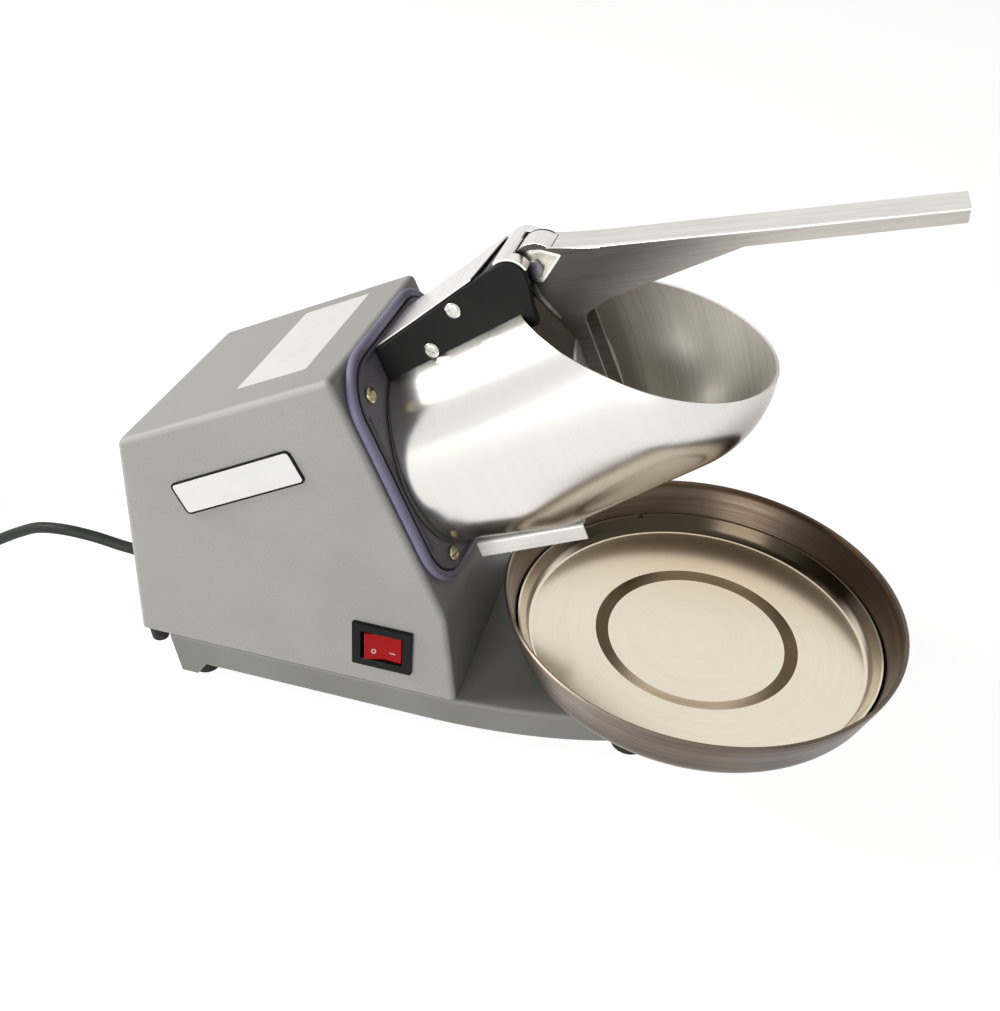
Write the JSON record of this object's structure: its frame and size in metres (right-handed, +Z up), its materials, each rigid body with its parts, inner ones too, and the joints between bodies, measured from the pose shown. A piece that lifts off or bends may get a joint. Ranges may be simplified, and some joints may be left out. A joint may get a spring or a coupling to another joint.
{
  "type": "electric ice crusher",
  "caption": "Electric ice crusher: slanted grey casing, steel scoop hopper, hinged pressing lever, rotating blade disc, rocker switch and a round serving tray on a tapered base.",
  "frame": {"origin": "on the surface that the machine stands on, below the middle of its length from the casing's rear wall to the tray's far rim, and midway across", "axes": "+X from the motor casing to the tray, +Z up, -Y towards the side with the switch"},
  "size_m": [0.743, 0.226, 0.336],
  "materials": {
    "case_paint": "satin warm light grey paint",
    "base_paint": "satin mid grey paint",
    "dark_paint": "satin near-black paint",
    "slate_casting": "dark slate coated casting",
    "seal_rubber": "violet grey rubber bead",
    "polished_steel": "polished stainless steel",
    "brushed_steel": "brushed stainless steel",
    "black_plastic": "satin black plastic",
    "red_plastic": "glossy red plastic",
    "rubber": "black rubber",
    "cast_alloy": "cast aluminium",
    "brass": "plain brass",
    "core_steel": "dark laminated steel",
    "blank_plate": "plain pale aluminium"
  },
  "bodies": {
    "base": {"base_frame": "base_paint", "foot_front_left": "rubber", "foot_front_right": "rubber", "foot_rear_left": "rubber", "foot_rear_right": "rubber", "tray_stand": "dark_paint", "tray_pad": "rubber", "casing_shell": "case_paint", "rear_bumper_left": "rubber", "rear_bumper_right": "rubber", "side_plate": "blank_plate", "motor_housing": "core_steel", "motor_front_bell": "cast_alloy", "motor_rear_bell": "cast_alloy", "motor_cradle": "brushed_steel", "front_bearing": "polished_steel", "rear_bearing": "polished_steel", "run_capacitor": "brushed_steel", "terminal_block": "black_plastic", "front_plate": "slate_casting", "front_seal": "seal_rubber", "plate_screw_upper_left": "brass", "plate_screw_upper_right": "brass", "plate_screw_lower_left": "brass", "plate_screw_lower_right": "brass", "blade_housing": "slate_casting", "hopper_ring": "dark_paint", "hopper": "polished_steel", "hinge_cheek_left": "black_plastic", "hinge_cheek_right": "black_plastic", "cheek_screw_front_left": "polished_steel", "cheek_screw_front_right": "polished_steel", "cheek_screw_rear_left": "polished_steel", "cheek_screw_rear_right": "polished_steel", "hinge_cover": "polished_steel", "hinge_pin": "polished_steel", "hinge_nut": "polished_steel", "snow_guide": "polished_steel", "switch_bezel": "black_plastic", "cord_gland": "rubber", "power_cord": "rubber", "cord_coil": "rubber", "plug_body": "rubber", "plug_pin_left": "brass", "plug_pin_right": "brass"},
    "lever": {"lever_arm": "polished_steel", "presser_plate": "polished_steel"},
    "rotor": {"motor_shaft": "polished_steel", "motor_core": "core_steel", "cooling_fan": "black_plastic", "blade_disc": "brushed_steel", "blade_upper": "polished_steel", "blade_lower": "polished_steel", "disc_nut": "brass"},
    "rocker": {"switch_rocker": "red_plastic"},
    "tray": {"tray_pan": "brushed_steel"},
    "insert": {"tray_insert": "brushed_steel"}
  },
  "joints": [
    {"name": "lever_hinge", "type": "hinge", "parent": "base", "child": "lever", "pos_m": [-0.01052, 0, 0.27302], "axis": [0, -1, 0], "range_deg": [-26, 72]},
    {"name": "rotor_spin", "type": "hinge", "parent": "base", "child": "rotor", "pos_m": [-0.06231, 0, 0.15307], "axis": [0.901, 0, 0.4338], "continuous": true},
    {"name": "switch_rock", "type": "hinge", "parent": "base", "child": "rocker", "pos_m": [-0.0655, -0.06205, 0.059], "axis": [0, 0, 1], "range_deg": [-14, 0]},
    {"name": "tray_slide", "type": "slide", "parent": "base", "child": "tray", "axis": [1, 0, 0], "range_m": [0, 0.12]},
    {"name": "insert_lift", "type": "slide", "parent": "tray", "child": "insert", "axis": [0, 0, 1], "range_m": [0, 0.014]}
  ]
}
